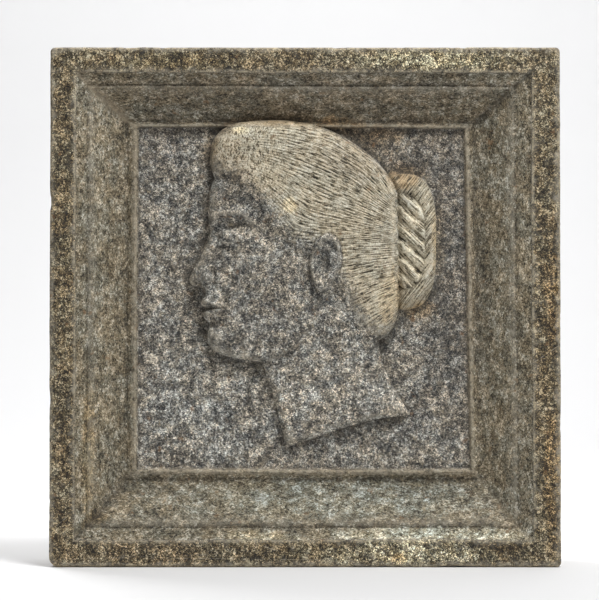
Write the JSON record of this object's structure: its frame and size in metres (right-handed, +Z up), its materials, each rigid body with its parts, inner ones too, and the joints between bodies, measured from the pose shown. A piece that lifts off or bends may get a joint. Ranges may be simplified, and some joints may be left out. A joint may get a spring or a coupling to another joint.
{
  "type": "stone relief",
  "caption": "Square stone plaque carved in one piece: a moulded frame round a sunk field that holds a head in profile in low relief.",
  "frame": {"origin": "middle of the slab's underside, halfway through its thickness", "axes": "+Z up, the carved side looks towards -Y, +X to the right for a viewer who faces the carving"},
  "size_m": [0.361, 0.058, 0.366],
  "materials": {
    "speckled_stone": "dull weathered dark grey and brown stone, speckled with pale and black grains, paler where the hair is carved"
  },
  "bodies": {
    "root": {"relief_slab": "speckled_stone"}
  },
  "joints": []
}
